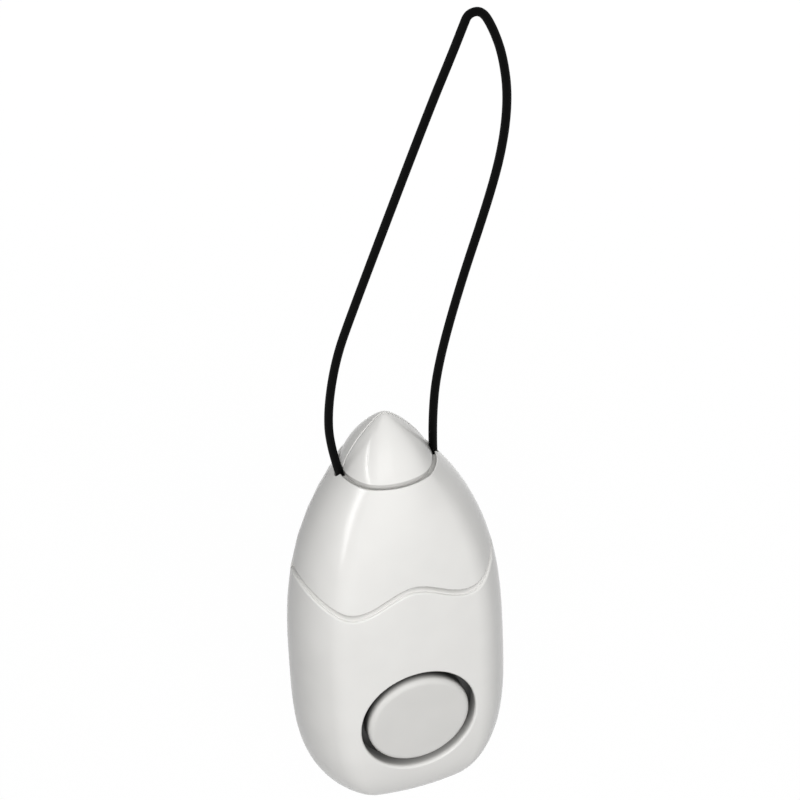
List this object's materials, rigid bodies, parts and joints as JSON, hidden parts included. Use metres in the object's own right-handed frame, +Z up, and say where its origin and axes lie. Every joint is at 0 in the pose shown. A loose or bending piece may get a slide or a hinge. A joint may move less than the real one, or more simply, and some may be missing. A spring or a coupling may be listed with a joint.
{
  "type": "vibration door alarm",
  "caption": "Egg-shaped alarm that hangs from a door handle by a cord loop: a wavy-seamed case with a large push button, a vibration sensor and a siren.",
  "frame": {"origin": "the inside of the cord loop's top, where a door handle bears", "axes": "+Z up along the case, -Y out of the front with the button, +X to the right of someone looking at the front"},
  "size_m": [0.0611, 0.0302, 0.2134],
  "materials": {
    "case_plastic": "smooth, softly glossy moulding",
    "button_plastic": "smooth satin moulding, a shade darker than the case",
    "black_cord": "tight black braid with a faint sheen",
    "brass": "plain brass",
    "screw_steel": "zinc-plated steel",
    "board_laminate": "green solder mask",
    "black_plastic": "matt black moulding",
    "plunger_plastic": "matt off-white moulding",
    "nickel_plate": "nickel-plated sheet",
    "sensor_steel": "bright spring steel",
    "ferrite": "dark grey sintered ferrite",
    "copper_wire": "enamelled copper",
    "capacitor_sleeve": "dark plastic sleeve over an aluminium can",
    "ceramic": "silvered ceramic",
    "cell_jacket": "plain dark jacket, no lettering"
  },
  "bodies": {
    "case": {"front_upper_cover": "case_plastic", "front_lower_cover": "case_plastic", "rear_cover": "case_plastic", "nose_front": "case_plastic", "nose_rear": "case_plastic", "hanging_cord": "black_cord", "cord_ends": "black_cord", "cord_crimps": "brass", "case_screws": "screw_steel", "board_screws": "screw_steel", "circuit_board": "board_laminate", "switch_body": "black_plastic", "sensor_can": "nickel_plate", "sensor_pin": "sensor_steel", "coil_core": "ferrite", "coil_winding": "copper_wire", "capacitor": "capacitor_sleeve", "control_chip": "black_plastic", "transistor": "black_plastic", "piezo_disc": "brass", "piezo_ceramic": "ceramic", "siren_cap": "black_plastic", "battery_cell_left": "cell_jacket", "battery_cell_right": "cell_jacket", "contact_plates": "nickel_plate", "contact_springs": "nickel_plate"},
    "button": {"button": "button_plastic", "switch_plunger": "plunger_plastic"},
    "battery_door": {"battery_door": "case_plastic"},
    "sensor_spring": {"sensor_spring": "sensor_steel"}
  },
  "joints": [
    {"name": "button_press", "type": "slide", "parent": "case", "child": "button", "axis": [0, 0.9969, 0.0785], "range_m": [0, 0.0012], "stiffness_N_per_m": 1000, "springref_m": -0.0008},
    {"name": "battery_door_slide", "type": "slide", "parent": "case", "child": "battery_door", "axis": [0, 0, -1], "range_m": [0, 0.012]},
    {"name": "sensor_sway", "type": "hinge", "parent": "case", "child": "sensor_spring", "pos_m": [-0.03705, -0.0067, -0.15995], "axis": [1, 0, 0], "range_deg": [-2.5, 2.5], "stiffness_Nm_per_rad": 0.0001}
  ]
}
